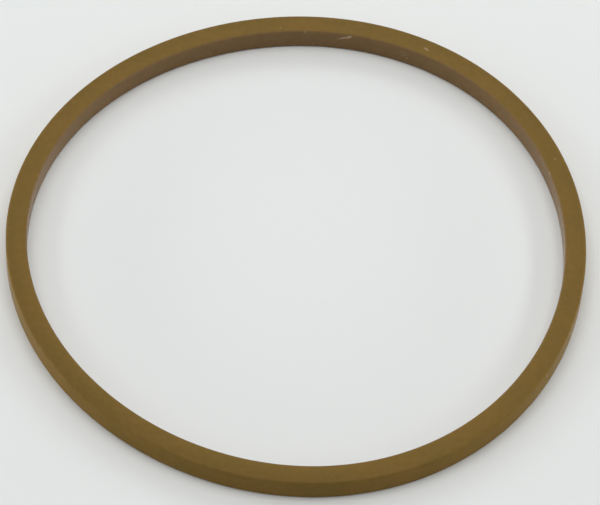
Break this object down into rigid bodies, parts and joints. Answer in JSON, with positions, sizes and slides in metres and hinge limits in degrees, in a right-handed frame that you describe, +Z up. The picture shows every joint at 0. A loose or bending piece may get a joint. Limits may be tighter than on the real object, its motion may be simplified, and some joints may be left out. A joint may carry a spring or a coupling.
{
  "type": "rectangular section o-ring",
  "caption": "Flat-sided rubber seal ring of rectangular section with softened edges, which seats in a groove and seals on its faces and walls.",
  "frame": {"origin": "on the ring's axis, at the height of the lower face, on which the ring lies", "axes": "+Z up along the ring's axis; X and Y lie in the plane of the lower face, and the ring is the same all round"},
  "size_m": [0.138, 0.138, 0.006],
  "materials": {
    "fluorocarbon_rubber": "satin, moulded, olive brown"
  },
  "bodies": {
    "root": {"seal_ring": "fluorocarbon_rubber"}
  },
  "joints": []
}
